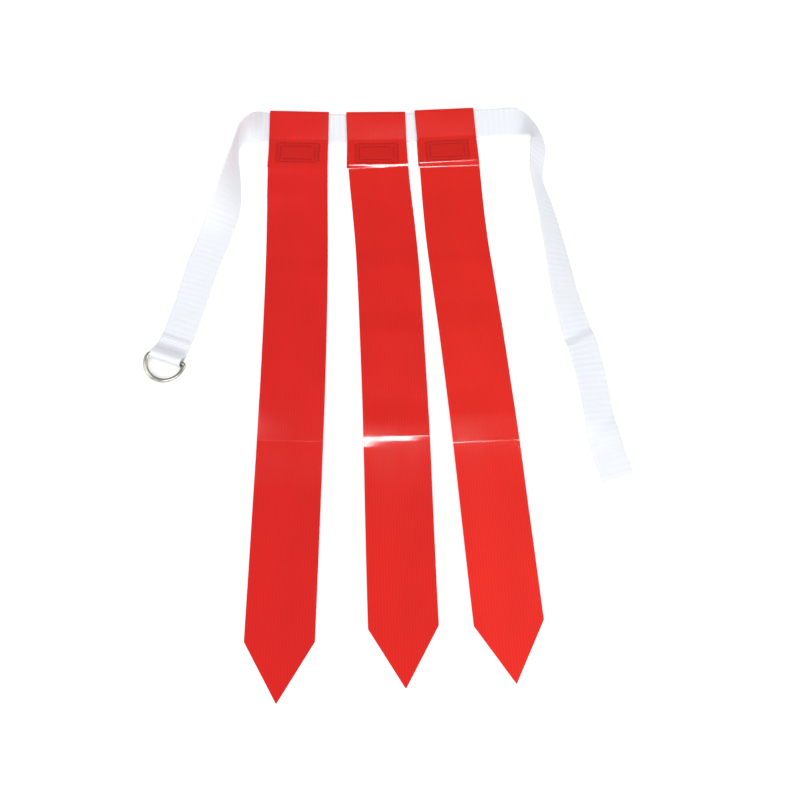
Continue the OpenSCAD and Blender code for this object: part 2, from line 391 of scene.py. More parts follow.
# Colour of each flag near its fold and near its point
VINYL_COLOURS = [
    ((0.655, 0.0105, 0.0070), (0.61, 0.0075, 0.0045)),
    ((0.66, 0.0105, 0.0055), (0.65, 0.0105, 0.0055)),
    ((0.665, 0.011, 0.005), (0.72, 0.0165, 0.0085)),
]
# Tint of the vinyl where the closure's tape backs it
PAD_SHADE = 0.86
PAD_TINT = (PAD_SHADE, PAD_SHADE * 0.92, PAD_SHADE * 0.95, 1)
# Places along a flag between which its near colour fades into its far one
NEAR_COLOUR_Y = -60
FAR_COLOUR_Y = -380
# Scale at which a wave texture makes one band for each unit of its vector
WAVE_TURN = math.pi / 10


def vinyl_material(k):
    """Soft red vinyl: lengthwise ribs with painted light on their crests and painted shade between them,
    cloudy tone and gloss, and a darker place over the pad.
    """
    n = Nodes(f"red_vinyl_{k + 1}")
    near, far = VINYL_COLOURS[k]
    run = n.node("ShaderNodeSeparateXYZ", {"Vector": n.lay})
    down = n.node(
        "ShaderNodeMapRange",
        {"Value": run.outputs["Y"], "From Min": NEAR_COLOUR_Y, "From Max": FAR_COLOUR_Y},
    ).outputs["Result"]
    clouds = n.noise(n.scaled((0.03, 0.015, 0.02)), 1.0, 3.0)
    base = n.ramp(down, [(0.0, near), (1.0, far)])
    cloudy = n.mix("MULTIPLY", 1.0, base, n.ramp(clouds, [(0.3, (0.95,) * 3), (0.7, (1.03,) * 3)]))
    # Lighter crests and darker furrows along the lengthwise ribs: painted light and shade.
    rib_light_wave = n.wave(n.scaled((1 / VINYL_RIB_PITCH, 0, 0)), WAVE_TURN, "X")
    rib_lit_colour = n.mix("MULTIPLY", 1.0, cloudy, n.ramp(rib_light_wave, [(0.0, (0.93,) * 3), (1.0, (1.035,) * 3)]))
    pad = n.inside(run, PAD_W / 2 - 0.6, PAD_NEAR - 0.4, PAD_FAR + 0.6, 0.5)
    n.link(n.mix("MULTIPLY", pad, rib_lit_colour, PAD_TINT), "Base Color")
    haze = n.noise(n.scaled((0.06, 0.02, 0.05)), 1.0, 4.0, 0.6)
    n.link(n.spread(haze, 0.06, 0.12), "Roughness")
    grain = n.noise(n.lay, 3.2, 2.0)
    n.link(n.bump(grain, 0.08, 0.02), "Normal")
    n.set(IOR=1.5, Specular_IOR_Level=0.5)
    return n.material


WEFT_PITCH = 1.617
WARP_PITCH = 0.9


def webbing_material():
    """White woven webbing: weft and warp yarns as bump, and patches with faint grey painted between the
    tall ribs as their shade.
    """
    n = Nodes("webbing")
    weft = n.wave(n.scaled((0, 1 / WEFT_PITCH, 0)), 0.5, "Y")
    warp = n.wave(n.scaled((1 / WARP_PITCH, 0, 0)), 0.5, "X", 0.6)
    fuzz = n.noise(n.lay, 2.4, 3.0, 0.7)
    patch = n.noise(n.scaled((0.03, 0.03, 0.03)), 1.0, 2.0)
    tone = n.math("ADD", n.math("MULTIPLY", fuzz, 0.6), n.math("MULTIPLY", patch, 0.4))
    cloth = n.ramp(tone, [(0.25, (0.715, 0.732, 0.765)), (0.75, (0.815, 0.838, 0.88))])
    # Faint grey between the tall ribs of the weave, showing in patches: painted shade of the weave's
    # furrows.
    groove_shade_wave = n.wave(n.scaled((0, 1 / RIB_PITCH, 0)), WAVE_TURN, "Y")
    painted_groove_shade = n.ramp(groove_shade_wave, [(0.0, (0.945, 0.953, 0.965)), (0.6, (1,) * 3)])
    n.link(n.mix("MULTIPLY", n.ease(patch, 0.4, 0.65), cloth, painted_groove_shade), "Base Color")
    weave = n.math("ADD", n.math("MULTIPLY", weft, 0.5), n.math("MULTIPLY", warp, 0.5))
    coarse = n.bump(weave, 0.35, 0.12)
    n.link(n.bump(fuzz, 0.3, 0.06, coarse), "Normal")
    n.set(Roughness=0.78, Sheen_Weight=0.15, Sheen_Roughness=0.5, Specular_IOR_Level=0.3)
    return n.material


def thread_material(name, dark, light):
    """Twisted thread: slanted plies as bump, a little change of tone."""
    n = Nodes(name)
    tone = n.noise(n.lay, 1.1, 2.0)
    n.link(n.ramp(tone, [(0.3, dark), (0.7, light)]), "Base Color")
    plies = n.wave(n.scaled((1.2, 1.2, 1.2)), 0.8, "DIAGONAL", 0.4)
    n.link(n.bump(plies, 0.6, 0.08), "Normal")
    n.set(Roughness=0.7, Specular_IOR_Level=0.2)
    return n.material


def tape_material(name, dark, light, grain):
    """Woven backing and pile of a closure tape."""
    n = Nodes(name)
    fuzz = n.noise(n.lay, grain, 3.0, 0.7)
    n.link(n.ramp(fuzz, [(0.3, dark), (0.7, light)]), "Base Color")
    weave = n.wave(n.scaled((1.4, 1.4, 0)), 0.8, "Y", 0.5)
    n.link(n.bump(weave, 0.5, 0.1), "Normal")
    n.set(Roughness=0.7, Sheen_Weight=0.3, Sheen_Roughness=0.4)
    return n.material


def steel_material():
    """Worn nickel plating, slightly brown where it has rubbed."""
    n = Nodes("ring_steel")
    wear = n.noise(n.lay, 0.35, 5.0, 0.65)
    n.link(n.ramp(wear, [(0.35, (0.36, 0.35, 0.29)), (0.65, (0.58, 0.57, 0.51))]), "Base Color")
    n.link(n.spread(n.noise(n.lay, 1.6, 4.0, 0.6), 0.14, 0.3), "Roughness")
    n.link(n.bump(n.noise(n.lay, 5.0, 3.0), 0.15, 0.03), "Normal")
    n.set(Metallic=1.0)
    return n.material


# ---- belt ----

ROW_STEP = 0.45
FLAT_COLUMNS = 20
SELVEDGE = 1.3


def loop_point(back, z):
    """A point of the belt's middle line at this distance back from the rings' bars."""
    along = math.radians(RING_HEADING)
    x = RING_AT[0] + back * math.cos(along)
    y = RING_AT[1] + back * math.sin(along)
    return x, y, z, RING_HEADING, 0


def round_bar(angles, bar_z):
    """Points where the belt bends round a ring's bar."""
    for a in np.radians(angles):
        yield loop_point(-LOOP_R * math.cos(a), bar_z + LOOP_R * math.sin(a))


def route_points():
    """Loop round the bars, then the route: place, height, heading and lean of each point."""
    under_z = FOLD_GAP + WEBBING_T / 2
    points = [loop_point(share * FOLD_UNDER, under_z) for share in (1, 0.75, 0.5, 0.25)]
    points += round_bar((-90, -60, -30, 0), LOWER_BAR_Z)
    points += round_bar((0, 30, 60), UPPER_BAR_Z)
    points += [loop_point(back, z) for back, z in LOOP_TOP]
    for x, y, heading, lean, lift in ROUTE:
        r = math.radians(lean)
        z = lift + WEBBING_W / 2 * abs(math.sin(r)) + WEBBING_T / 2 * abs(math.cos(r)) + TABLE_GAP
        points.append((x, y, z, heading, lean))
    return np.array(points, float)


def smooth_route(points, steps):
    """Catmull-Rom curve through the points, with this many steps between two of them."""
    last = len(points) - 1
    made = []
    for i in range(last):
        a, b, c, d = points[max(i - 1, 0)], points[i], points[i + 1], points[min(i + 2, last)]
        for t in np.arange(steps) / steps:
            made.append(0.5 * (
                2 * b + (c - a) * t + (2 * a - 5 * b + 4 * c - d) * t * t
                + (3 * b - a - 3 * c + d) * t ** 3
            ))
    made.append(points[last])
    return np.array(made)


def evenly(points, step):
    """The same line with points this far apart, and how far along it each one is."""
    run = np.concatenate([[0], np.cumsum(np.linalg.norm(np.diff(points[:, :3], axis=0), axis=1))])
    at = np.linspace(0, run[-1], int(run[-1] / step) + 1)
    return np.stack([np.interp(at, run, points[:, i]) for i in range(points.shape[1])], axis=1), at


def webbing_chain():
    """The section's outline: place across, height, and how much of the ribs shows there."""
    half_flat = WEBBING_W / 2 - SELVEDGE
    flat = np.linspace(-half_flat, half_flat, FLAT_COLUMNS)
    half_t = WEBBING_T / 2 - FINE_RIB
    arcs = [math.radians(a) for a in (60, 30, 0, -30, -60)]
    upper = [(u, half_t, 1.0) for u in flat]
    right = [(half_flat + SELVEDGE * math.cos(a), half_t * math.sin(a), 0.5) for a in arcs]
    lower = [(-u, -half_t, 1.0) for u in flat]
    left = [(-u, -z, w) for u, z, w in right]
    return np.array(upper + right + lower + left)


def belt_frame(line):
    """Directions across the webbing and out of its face, at each point of the line."""
    heading, lean = np.radians(line[:, 3]), np.radians(line[:, 4])
    across = np.stack(
        [-np.sin(heading) * np.cos(lean), np.cos(heading) * np.cos(lean), np.sin(lean)], axis=1
    )
    forward = unit(np.gradient(line[:, :3], axis=0))
    return across, unit(np.cross(forward, across))


def rib_height(s, u):
    """Cross ribs of the weave: every third one stands a little higher."""
    wobble = 0.35 * np.sin(2 * math.pi * u / 5.3)
    tall = TALL_RIB * np.cos(2 * math.pi * s / RIB_PITCH + 0.2 * wobble)
    fine = FINE_RIB * np.cos(2 * math.pi * s / FINE_RIB_PITCH + wobble)
    return tall + fine


# Creases where the webbing rises off the table and sinks back: x and y of the crease, its slant, its
# height, and the lengths over which the webbing rises and sinks
LIFTS = [
    (105.5, 2, 0.05, 0.9, 6, 12),
    (140.5, -196, 0.25, 2.3, 9, 60),
    (153, -274, 0.6, 1.6, 14, 80),
]


def webbing_lift(line, run, u):
    """How far the webbing stands above its plain course, by place along it and across it."""
    lift = np.zeros((len(run), len(u)))
    for x, y, slant, height, rise, sink in LIFTS:
        at = run[np.argmin(np.hypot(line[:, 0] - x, line[:, 1] - y))]
        along = run[:, None] - at + slant * u[None, :]
        up = smoothstep(along, -rise / 2, rise / 2)
        down = smoothstep(along, rise / 2, rise / 2 + sink)
        lift += height * (up - down)
    return lift


def belt_ribbon(material):
    """The whole webbing, from its end under the rings to its cut end on the right."""
    line, run = evenly(smooth_route(route_points(), 14), ROW_STEP)
    across, up = belt_frame(line)
    u, z, share = webbing_chain().T
    sign = np.sign(z)
    ribs = rib_height(run[:, None], u[None, :]) * share * sign
    heights = z[None, :] + ribs + webbing_lift(line, run, u)
    width = 1 + 0.006 * np.cos(2 * math.pi * run / RIB_PITCH)
    sway = 0.12 * np.sin(run / 31.0) * np.sin(run / 9.7 + 1.0)
    places = u[None, :] * width[:, None] + sway[:, None]
    rows = line[:, None, :3] + places[..., None] * across[:, None, :] + heights[..., None] * up[:, None, :]
    lay = np.stack(np.broadcast_arrays(u[None, :], run[:, None], sign[None, :]), axis=-1)
    batch = Batch()
    batch.add(rows, lay)
    ribbon = batch.mesh("belt_ribbon", material, 60)
    finish_piece(ribbon, "belt", "webbing", "belt_webbing")


# ---- threads ----

THREAD_R = 0.26
THREAD_SIDES = 8
STITCH_LEN = 2.2
STITCH_PITCH = STITCH_LEN + 0.9
STITCH_INSET = 1.2
# How far a stitch arches out of the cloth between its needle holes, and how deep its ends sit
STITCH_ARCH = 0.34
STITCH_SUNK = 0.22
# The two rows of stitches behind the rings: place behind the bars, and height above the webbing
RING_LOOP_ROWS = [(13.9, 0.12), (16.1, 0.06)]
STITCHES_IN_A_ROW = 8


def tube_rows(line, radii, sides, up):
    """Rings of points round a line, for Batch.add."""
    line = np.asarray(line, float)
    forward = unit(np.gradient(line, axis=0))
    side = unit(np.cross(forward, np.asarray(up, float)))
    out = np.cross(side, forward)
    angles = 2 * math.pi * (np.arange(sides) + 0.5) / sides
    ring = side[:, None] * np.cos(angles)[None, :, None] + out[:, None] * np.sin(angles)[None, :, None]
    return line[:, None] + ring * np.asarray(radii, float)[:, None, None]


def add_stitch(batch, start, end, out):
    """One stitch: a short thread that arches out of its two needle holes along out."""
    start, end, out = (np.asarray(p, float) for p in (start, end, out))
    t = np.linspace(0, 1, 9)
    arch = np.clip(np.sin(math.pi * t), 0, 1) ** 0.45
    line = start + (end - start) * t[:, None] + out * (arch[:, None] * STITCH_ARCH - STITCH_SUNK)
    radii = THREAD_R * (0.72 + 0.28 * arch)
    batch.add(tube_rows(line, radii, THREAD_SIDES, out))


def ring_loop_threads(material):
    """Two rows of stitches that hold the belt's folded end under the D-rings."""
    batch = Batch()
    along = math.radians(RING_HEADING)
    back_dir = np.array([math.cos(along), math.sin(along), 0])
    side_dir = np.array([-math.sin(along), math.cos(along), 0])
    for back, height in RING_LOOP_ROWS:
        z = SEWN_Z + WEBBING_T / 2 + height
        middle = np.array([RING_AT[0], RING_AT[1], z]) + back * back_dir
        for i in range(STITCHES_IN_A_ROW):
            at = (i - (STITCHES_IN_A_ROW - 1) / 2) * STITCH_PITCH
            start = middle + (at - STITCH_LEN / 2) * side_dir
            end = middle + (at + STITCH_LEN / 2) * side_dir
            add_stitch(batch, start, end, (0, 0, 1))
    piece = batch.mesh("ring_loop_thread", material, 60)
    finish_piece(piece, "belt", "white_thread", "ring_loop_stitching")


# ---- D-rings ----

RING_SIDES = 20
RING_HALF = RING_INSIDE_W / 2 + WIRE_D / 2
CORNER_R = 2.3
LEG = 0.4
BOW_REACH = RING_HALF + CORNER_R + LEG
# Both rings slope down from their bars, until the lower one's bow meets the table
RING_SLOPE = math.degrees(math.asin((LOWER_BAR_Z - WIRE_D / 2) / BOW_REACH)) - 0.2


def ring_line():
    """Middle line of a D-ring's wire in its own plane: bar on X, bow towards -Y."""
    half, corner, leg = RING_HALF, CORNER_R, LEG
    bow_y = -(corner + leg)

    def arc(cx, cy, radius, start, end, count):
        for a in np.radians(np.linspace(start, end, count, endpoint=False)):
            yield (cx + radius * math.cos(a), cy + radius * math.sin(a), 0.0)

    points = [(x, 0.0, 0.0) for x in np.linspace(-(half - corner), half - corner, 14, endpoint=False)]
    points += arc(half - corner, -corner, corner, 90, 0, 10)
    points += [(half, -corner, 0.0), (half, -corner - leg / 2, 0.0)]
    points += arc(0, bow_y, half, 0, -180, 60)
    points += [(-half, bow_y, 0.0), (-half, -corner - leg / 2, 0.0)]
    points += arc(-(half - corner), -corner, corner, 180, 90, 10)
    return np.array(points)


def ring_piece(name, material, bar_z, shift, body, node):
    """One D-ring as an endless tube of round wire, moved sideways along its bar by shift."""
    line = ring_line()
    forward = unit(np.roll(line, -1, axis=0) - np.roll(line, 1, axis=0))
    out = np.cross(forward, (0, 0, 1))
    angles = 2 * math.pi * np.arange(RING_SIDES) / RING_SIDES
    ring = (
        out[:, None] * np.cos(angles)[None, :, None]
        + np.array([0, 0, 1])[None, None] * np.sin(angles)[None, :, None]
    )
    rows = line[:, None] + ring * (WIRE_D / 2)
    x, y, z = rows[..., 0], rows[..., 1], rows[..., 2]
    y, z = turned(y, z, RING_SLOPE)
    x, y = turned(x + shift, y, RING_HEADING - 90)
    placed = np.stack([x + RING_AT[0], y + RING_AT[1], z + bar_z], axis=-1)
    index = np.arange(len(line) * RING_SIDES).reshape(-1, RING_SIDES)
    onward = np.roll(index, -1, axis=0)
    quads = np.stack([index, np.roll(index, -1, axis=1), np.roll(onward, -1, axis=1), onward], axis=-1)
    batch = Batch()
    batch.add_quads(placed.reshape(-1, 3), quads.reshape(-1, 4), rows)
    piece = batch.mesh(name, material, 60)
    finish_piece(piece, body, "ring_steel", node)


# ---- flags ----

COLUMNS = 137

# A profile runs from over the belt's far edge to past the point
PROFILE_START = 14.5
PROFILE_END = -480
PROFILE_STEP = 0.05
# Height of the vinyl's middle where its profile starts
PROFILE_START_Z = BELT_Z + LAYER_GAP / math.cos(BELT_TILT) + PROFILE_START * math.tan(BELT_TILT)
# Slopes are (place, degrees down to the point) along a flag. These are shared between its lines.
OVER_BELT = [(14.5, 10), (-9, 10)]
FLAG_2_SHARED = [
    (-10.7, 12), (-12.4, 0), (-48, 4.6), (-62, 3.4), (-74, 1), (-82, 0), (-108, 0), (-114, -4.5),
    (-126, -4.5), (-131, 0.3), (-168, 0.3), (-174, -4), (-186, -4), (-191, 0.2), (-225, -1),
    (-244, -1.5), (-250, -4), (-261, -3.5), (-288, 1.4), (-400, 1.15), (-459, 0.4), (-480, 0),
]
FLAG_3_SHARED = [
    (-10.7, 12), (-12.4, 0), (-50, 4.6), (-64, 3.4), (-74, 1), (-82, 0), (-108, 0), (-114, -4),
    (-127, -4), (-131, 0.3), (-162, 0.3), (-191, 0.2), (-225, -1), (-240, -1.5), (-247, -4),
    (-259, -3.6), (-400, 1.35), (-459, 0.6), (-480, 0),
]
# For each flag, the slopes along evenly spaced lines from its left to its right edge
SLOPES_ACROSS = [
    (
        [
            (-10.7, 13), (-12.3, 0), (-36, 0), (-40, 6), (-42.5, 10.4), (-44, 9), (-47, 0), (-60, -1),
            (-68, 8), (-76, 7), (-84, 0), (-120, 0), (-124, -4), (-134, -3), (-138, 0), (-160, -1),
            (-225, -1), (-259, -0.3), (-270, -0.7), (-279, -1.1), (-279.6, 1.6), (-298, 0.6),
            (-312, -0.6), (-319, 1.2), (-400, 1.1), (-440, 0.6), (-480, 0),
        ],
        [
            (-10.7, 13), (-12.3, 0), (-36, 0), (-42, 7), (-50, 6), (-60, 3), (-72, 2.2), (-84, 0),
            (-122, 0), (-127, -4), (-136, -3), (-141, 0), (-165, -1), (-225, -1.2), (-259, -1),
            (-270, -1.6), (-279, -2.1), (-279.6, 1.8), (-298, 0.9), (-312, 0.8), (-319, 1.2),
            (-400, 1.35), (-440, 0.9), (-480, 0),
        ],
    ),
    (
        FLAG_2_SHARED + [
            (-35.1, 0), (-35.5, 11.2), (-36.6, 12.9), (-37, 17.5), (-38.4, 17.5), (-38.8, 12.7),
            (-40, 11.1), (-40.6, 5), (-267, -1.4), (-275.9, -1.1), (-276.7, 0), (-283.6, -0.35),
            (-284.4, 1.2),
        ],
        FLAG_2_SHARED + [
            (-34.9, 0), (-35.2, 11.4), (-38.4, 12.6), (-39, 5), (-267, -1.6), (-275.2, -1.5),
            (-275.9, 0), (-278.9, -0.1), (-279.9, 1.3), (-284, 1.5),
        ],
        FLAG_2_SHARED + [
            (-34.6, 0), (-34.9, 11.4), (-37.2, 12.6), (-37.8, 5), (-267, -2), (-275.4, -1.9),
            (-275.9, 2.4), (-284, 1.8),
        ],
    ),
    (
        FLAG_3_SHARED + [
            (-34.8, 0), (-35.2, 11.2), (-36.3, 12.8), (-36.7, 17.5), (-38.5, 17.5), (-38.9, 12.6),
            (-40, 11.2), (-40.6, 4), (-168, -3.4), (-186, -3.4), (-263, -1.2), (-272, -0.9),
            (-283, -1.5), (-283.7, 1.5),
        ],
        FLAG_3_SHARED + [
            (-34.5, 0), (-34.9, 11.2), (-36, 12.8), (-36.4, 17.5), (-39, 17.5), (-39.4, 12.6),
            (-40.5, 11.2), (-41.1, 4), (-168, -3.2), (-186, -3.2), (-263, -1.4), (-272, -1.1),
            (-283, -1.6), (-283.7, 1.5),
        ],
    ),
]
# How far each flag's middle line bows towards +X as it lies
BOWS = [
    [(14, 0), (-40, 0), (-110, 1.8), (-190, 2.9), (-270, 2.8), (-350, 1.8), (-470, 0)],
    [(14, 0), (-40, 0), (-98, 2.6), (-180, 3.6), (-263, 3.2), (-350, 1.6), (-470, 0)],
    [(14, 0), (-40, -0.6), (-98, -2), (-160, -1), (-230, 0), (-350, 0), (-470, 0)],
]


def stitch_boxes():
    """Half width and half length of the two nested boxes of stitches on a pad."""
    outer = (PAD_W / 2 - STITCH_INSET, PAD_LEN / 2 - STITCH_INSET)
    return [outer, (outer[0] - 3.4, outer[1] - 3.0)]


def box_distance(x, y, half_w, half_l):
    """Distance from the outline of a rectangle in the middle of the pad."""
    dx, dy = np.abs(x) - half_w, np.abs(y - (PAD_NEAR + PAD_FAR) / 2) - half_l
    outside = np.hypot(np.maximum(dx, 0), np.maximum(dy, 0))
    return np.abs(outside + np.minimum(np.maximum(dx, dy), 0))


PUCKER_DEPTH = 0.2
PUCKER_REACH = 0.75


def pucker(x, y):
    """Dents that the stitches pull into the vinyl, deepest at the needle holes."""
    depth = np.zeros(np.broadcast(x, y).shape)
    for half_w, half_l in stitch_boxes():
        near = np.exp(-(box_distance(x, y, half_w, half_l) / PUCKER_REACH) ** 2)
        pull = 0.75 + 0.25 * np.cos(2 * math.pi * (x + y) / STITCH_PITCH)
        depth = np.maximum(depth, PUCKER_DEPTH * near * pull)
    return -depth


def profile(slopes):
    """Height of the vinyl's middle as a function of the place along a flag, from its slopes."""
    places, degrees = np.array(sorted(OVER_BELT + slopes), float).T
    at = np.arange(PROFILE_START, PROFILE_END, -PROFILE_STEP)
    drop = np.tan(np.radians(np.interp(at, places, degrees))) * PROFILE_STEP
    heights = np.maximum(PROFILE_START_Z - np.cumsum(drop) + drop[0], VINYL_T / 2 + 0.04)

    def value(y):
        return np.interp(y, at[::-1], heights[::-1])

    return value


def strip_height(k):
    """Height of the middle of flag k's vinyl, as a function of x and y in its sleeve frame."""
    profiles = [profile(slopes) for slopes in SLOPES_ACROSS[k]]
    places = np.linspace(-FLAG_W / 2 - 4, FLAG_W / 2 + 4, len(profiles))

    def height(x, y):
        base = profiles[0](y)
        for i in range(len(profiles) - 1):
            share = smoothstep(x, places[i], places[i + 1])
            base = base + (profiles[i + 1](y) - profiles[i](y)) * share
        ripple = 0.03 * np.sin(y / 7.3 + 1.7 * k + x / 19) * smoothstep(-y, 60, 110)
        rim = (np.abs(x) / (FLAG_W / 2)) ** 6
        edge_curl = 0.16 * rim * np.sin(y / 23 + k) ** 2 * smoothstep(-y, 50, 90)
        return base + ripple + edge_curl + pucker(x, y)

    return height


def vinyl_rib(x):
    """Fine lengthwise ribs pressed into the vinyl."""
    return VINYL_RIB * np.cos(2 * math.pi * x / VINYL_RIB_PITCH)


CROSS_LINE_PITCH = 2.1
CROSS_LINE = 0.02


def cross_lines(y):
    """Faint crosswise lines where the vinyl is bent over the belt."""
    return CROSS_LINE * np.cos(2 * math.pi * y / CROSS_LINE_PITCH) * smoothstep(y, -12, -8)


# Where the bend below the pad ends, and where the crease that shines starts and ends
PAD_BEND_END = -46
CREASE_START = -268
CREASE_END = -292


def strip_rows(k):
    """Places of the rows along flag k, close together where the vinyl has detail."""
    length = FLAGS[k][4]
    shoulder = -(length - POINT_LEN)
    sleeve = np.arange(SEAM_Y, PAD_BEND_END, -0.42)
    upper = np.arange(PAD_BEND_END, CREASE_START, -1.1)
    crease = np.arange(CREASE_START, CREASE_END, -0.4)
    lower = np.arange(CREASE_END, shoulder, -1.1)
    tip = np.linspace(shoulder, -length + 0.25, 60)
    return np.concatenate([sleeve, upper, crease, lower, tip])


def strip_surface(k):
    """Plan places and heights of flag k's vinyl: rows along the flag, columns across it."""
    length, turn = FLAGS[k][4], FLAGS[k][3] - FLAGS[k][2]
    along = strip_rows(k)[:, None]
    across = np.linspace(-FLAG_W / 2, FLAG_W / 2, COLUMNS)[None, :]
    half = np.minimum(FLAG_W / 2, (length + along) / POINT_LEN * FLAG_W / 2)
    x = np.clip(across, -half, half)
    square = smoothstep(-along, 60, 120)
    v = along - (1 - square) * x * math.tan(math.radians(turn))
    bow = spline(BOWS[k])(along)
    px, py = turned(x + bow, v, turn)
    height = strip_height(k)
    z = height(x, py)
    nudge = 0.1
    dz_dx = (height(x + nudge, py) - height(x - nudge, py)) / (2 * nudge)
    dz_dy = (height(x, py + nudge) - height(x, py - nudge)) / (2 * nudge)
    normal = unit(np.stack([-dz_dx, -dz_dy, np.ones_like(z)], axis=-1))
    lay = np.stack(np.broadcast_arrays(x, v, np.zeros_like(z)), axis=-1)
    return np.stack([px, py, z], axis=-1), normal, lay


def sheet_rows(middle, normal, lay, relief):
    """Closed rings of points: the top from left to right, a rounded rim, and the underside back."""
    half = VINYL_T / 2
    top = middle + normal * (half + relief)[..., None]
    bottom = middle - normal * (half - relief * 0.6)[..., None]
    side = unit(middle[:, -1] - middle[:, 0])
    width = np.linalg.norm(middle[:, -1] - middle[:, 0], axis=1)
    rim = np.minimum(0.08, width * 0.1)[:, None] * side
    right = (middle[:, -1] + rim)[:, None]
    left = (middle[:, 0] - rim)[:, None]
    rows = np.concatenate([top, right, bottom[:, ::-1], left], axis=1)
    flat = np.concatenate([lay, lay[:, -1:], lay[:, ::-1] + (0, 0, 1), lay[:, :1]], axis=1)
    return rows, flat


def strip_piece(k, material):
    """The long vinyl strip of flag k, from over the belt to its pointed end."""
    middle, normal, lay = strip_surface(k)
    relief = vinyl_rib(lay[..., 0]) + cross_lines(middle[..., 1])
    rows, flat = sheet_rows(middle, normal, lay, relief)
    batch = Batch()
    batch.add(from_sleeve(k, rows), flat)
    name = f"flag_{k + 1}"
    piece = batch.mesh(name + "_vinyl", material, 50)
    finish_piece(piece, name, "red_vinyl", name + "_strip")


# Two places on the fold at the same place along the flag, one high and one low; tab_piece works them out
# in the part's frame but does not use them
BLEND_TOP = (0, 13, 7.35)
BLEND_LOW = (0, 13, 5.1)


def fold_line():
    """Side view of the vinyl from the seam over the belt, round the fold and under the belt.

    It is the same for each flag, because all three go over the belt at the same slope.
    """
    slope = np.array([math.cos(BELT_TILT), math.sin(BELT_TILT)])
    start = np.array([SEAM_Y, strip_height(0)(np.array(0.0), np.array(SEAM_Y))], float)
    arc_start = FOLD_CENTRE + LAYER_GAP * np.array([-slope[1], slope[0]])
    straight = [start + (arc_start - start) * t for t in np.linspace(0, 1, 4, endpoint=False)]
    angles = np.linspace(math.pi / 2, -math.pi / 2, 21) + BELT_TILT
    arc = [FOLD_CENTRE + LAYER_GAP * np.array([math.cos(a), math.sin(a)]) for a in angles]
    under_end = np.array([-12.6, VINYL_T / 2])
    under = [arc[-1] + (under_end - arc[-1]) * t for t in np.linspace(0, 1, 40)[1:]]
    flat = [np.array([y, VINYL_T / 2]) for y in np.arange(-13.2, TAB_END, -0.4)]
    return np.array(straight + arc + under + flat + [np.array([TAB_END, VINYL_T / 2])])


def tab_piece(k, material):
    """The short end of flag k's vinyl: the fold and the tab that lies under the belt."""
    line = fold_line()
    turn = math.radians(FLAGS[k][3] - FLAGS[k][2])
    across = np.linspace(-FLAG_W / 2, FLAG_W / 2, COLUMNS)
    run = np.concatenate([[0], np.cumsum(np.linalg.norm(np.diff(line, axis=0), axis=1))])
    shift = -SEAM_Y * math.sin(turn) * (1 - smoothstep(run, 0, 30))
    x = across[None, :] + shift[:, None]
    y = np.broadcast_to(line[:, :1], x.shape)
    z = np.broadcast_to(line[:, 1:], x.shape)
    z = z - pucker(x, y) * (z < 1)
    step = unit(np.gradient(line, axis=0))
    out = np.stack([np.zeros(len(line)), step[:, 1], -step[:, 0]], axis=1)
    normal = np.broadcast_to(out[:, None], (*x.shape, 3))
    lay = np.stack(np.broadcast_arrays(across[None], SEAM_Y + run[:, None], np.zeros(x.shape)), axis=-1)
    over = smoothstep(y, 4, 9) * (z > FOLD_CENTRE[1])
    relief = vinyl_rib(lay[..., 0]) + CROSS_LINE * np.cos(2 * math.pi * y / CROSS_LINE_PITCH) * over
    relief = np.where(z < FOLD_CENTRE[1] - 1, np.minimum(relief, 0), relief)
    rows, flat = sheet_rows(np.stack([x, y, z], axis=-1), normal, lay, relief)
    batch = Batch()
    batch.add(from_sleeve(k, rows), flat)
    name = f"flag_{k + 1}"
    piece = batch.mesh(name + "_fold", material, 50)
    top, low = put(from_sleeve(k, [BLEND_TOP, BLEND_LOW]))
    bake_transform(piece)
    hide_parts(name + "_tab")


# ---- closures ----

HOOK_PITCH = 1.4
HOOK_R = 0.13
LOOPS_ON_A_PAD = 620
PILE_R = 0.07
LOOP_THREAD_Z = 0.37


def tape_rows(z_low, z_high):
    """The tape's backing: a thin slab with rounded selvedges and a woven surface."""
    y = np.arange(PAD_NEAR, PAD_FAR - 0.01, -0.5)
    u = np.linspace(-PAD_W / 2, PAD_W / 2, 77)
    middle, half = (z_low + z_high) / 2, (z_high - z_low) / 2
    weave = 0.03 * np.cos(math.pi * y / 0.5)[:, None] * np.cos(math.pi * u / 0.5)[None, :]
    selvedge = 1 - 0.5 * smoothstep(np.abs(u), PAD_W / 2 - 1.6, PAD_W / 2)
    upper = half * selvedge[None, :] + weave
    grid_x = np.broadcast_to(u[None, :], weave.shape)
    grid_y = np.broadcast_to(y[:, None], weave.shape)
    top = np.stack([grid_x, grid_y, middle + upper], axis=-1)
    bottom = np.stack([grid_x, grid_y, middle - upper], axis=-1)[:, ::-1]
    return np.concatenate([top, bottom], axis=1)


def add_hook(batch, k, x, y, turn):
    """One moulded hook that hangs from its tape and curls back."""
    angles = np.radians([0, 40, 80, 120, 160, 200])
    curl = 0.2
    root_z = HOOK_TAPE_Z - TAPE_T + 0.05
    tip_z = MEETING_Z + 0.06
    bend_z = tip_z + curl
    line = [(0, root_z), (0, (root_z + bend_z) / 2)]
    line += [(turn * curl * (1 - math.cos(a)), bend_z - curl * math.sin(a)) for a in angles]
    radii = [HOOK_R * 1.25, HOOK_R, *([HOOK_R * 0.95] * 4), HOOK_R * 0.8, HOOK_R * 0.6]
    points = [(x, y + along, z) for along, z in line]
    batch.add(from_sleeve(k, tube_rows(points, radii, 5, (1, 0, 0))))


